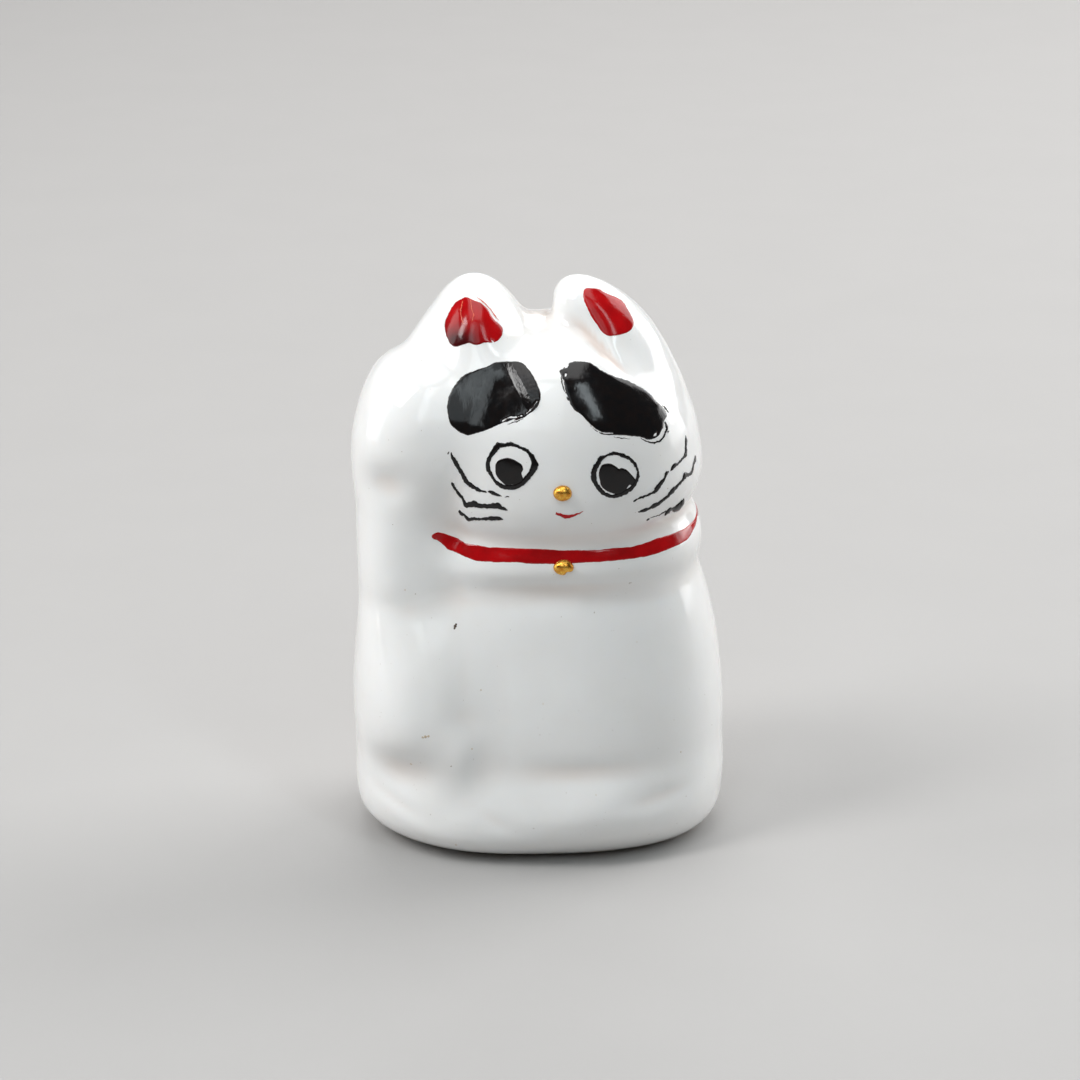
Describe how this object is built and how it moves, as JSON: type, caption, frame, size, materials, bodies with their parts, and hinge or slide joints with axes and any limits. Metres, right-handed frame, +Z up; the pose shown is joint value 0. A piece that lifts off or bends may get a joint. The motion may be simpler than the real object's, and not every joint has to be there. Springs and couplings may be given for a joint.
{
  "type": "ceramic lucky cat figurine",
  "caption": "Seated lucky cat with its right paw raised to its head, slip cast and glazed white, with painted face, red collar and gold dots.",
  "frame": {"origin": "middle of the footprint, on the surface the figure stands on", "axes": "+Z up, the cat faces -Y, and its raised right paw is towards -X"},
  "size_m": [0.0496, 0.041, 0.0754],
  "materials": {
    "white_glaze": "clear gloss glaze over a white clay body",
    "black_enamel": "gloss overglaze enamel, brushed by hand",
    "red_enamel": "gloss overglaze enamel, brushed by hand",
    "gold_enamel": "bright liquid gold on a raised drop",
    "bare_clay": "fired, unglazed, matt"
  },
  "bodies": {
    "root": {"cat_figure": "white_glaze"}
  },
  "joints": []
}
